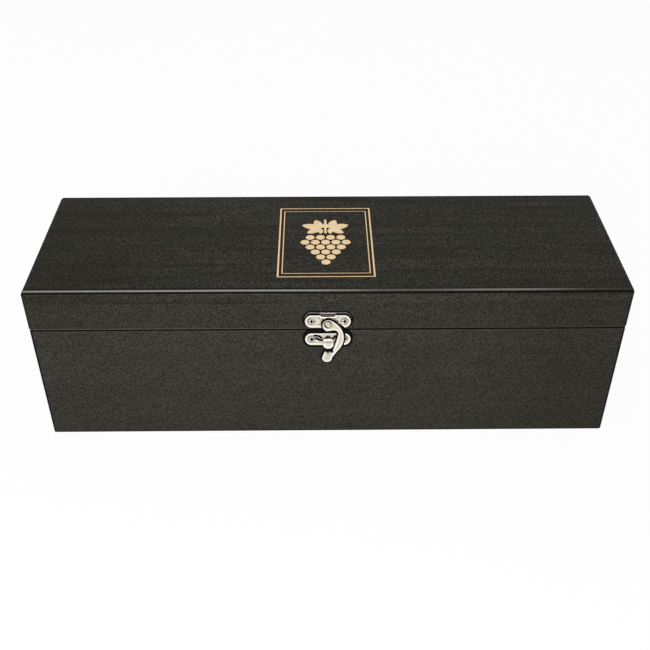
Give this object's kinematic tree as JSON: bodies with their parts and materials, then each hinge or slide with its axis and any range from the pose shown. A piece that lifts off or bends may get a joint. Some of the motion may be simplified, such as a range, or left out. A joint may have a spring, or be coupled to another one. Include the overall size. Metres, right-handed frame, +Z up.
{
  "type": "wine box",
  "caption": "Hinged rectangular wooden box for one bottle of wine, with an engraved lid, felt-lined bottle cradles inside, hinges at the back and a swing-hook clasp in front.",
  "frame": {"origin": "middle of the box's footprint, on the surface that it stands on", "axes": "+X along the box, to the right of a viewer who faces the clasp; -Y is the front, with the clasp; +Z is up"},
  "size_m": [0.3556, 0.1217, 0.1104],
  "materials": {
    "stained_wood": "satin near-black stain",
    "nickel": "bright nickel plate",
    "hinge_steel": "nickel-plated steel",
    "felt": "black felt"
  },
  "bodies": {
    "base": {"base_back_panel": "stained_wood", "base_bottom_panel": "stained_wood", "base_front_panel": "stained_wood", "base_left_panel": "stained_wood", "base_right_panel": "stained_wood", "body_cradle": "stained_wood", "body_cradle_felt": "felt", "clasp_catch": "nickel", "clasp_catch_screws": "nickel", "left_hinge_base_leaf": "hinge_steel", "left_hinge_base_screws": "hinge_steel", "left_hinge_pin": "hinge_steel", "neck_cradle": "stained_wood", "neck_cradle_felt": "felt", "right_hinge_base_leaf": "hinge_steel", "right_hinge_base_screws": "hinge_steel", "right_hinge_pin": "hinge_steel"},
    "lid": {"clasp_plate": "nickel", "clasp_plate_screws": "nickel", "clasp_rivet": "nickel", "left_hinge_lid_leaf": "hinge_steel", "left_hinge_lid_screws": "hinge_steel", "lid_back_rail": "stained_wood", "lid_front_rail": "stained_wood", "lid_left_rail": "stained_wood", "lid_right_rail": "stained_wood", "lid_top_panel": "stained_wood", "right_hinge_lid_leaf": "hinge_steel", "right_hinge_lid_screws": "hinge_steel"},
    "hook": {"clasp_hook": "nickel"}
  },
  "joints": [
    {"name": "lid_hinge", "type": "hinge", "parent": "base", "child": "lid", "pos_m": [0, 0.0583, 0.0831], "axis": [-1, 0, 0], "range_deg": [0, 105]},
    {"name": "clasp_swing", "type": "hinge", "parent": "lid", "child": "hook", "pos_m": [-0.0003, -0.0589, 0.0894], "axis": [0, -1, 0], "range_deg": [0, 180]}
  ]
}
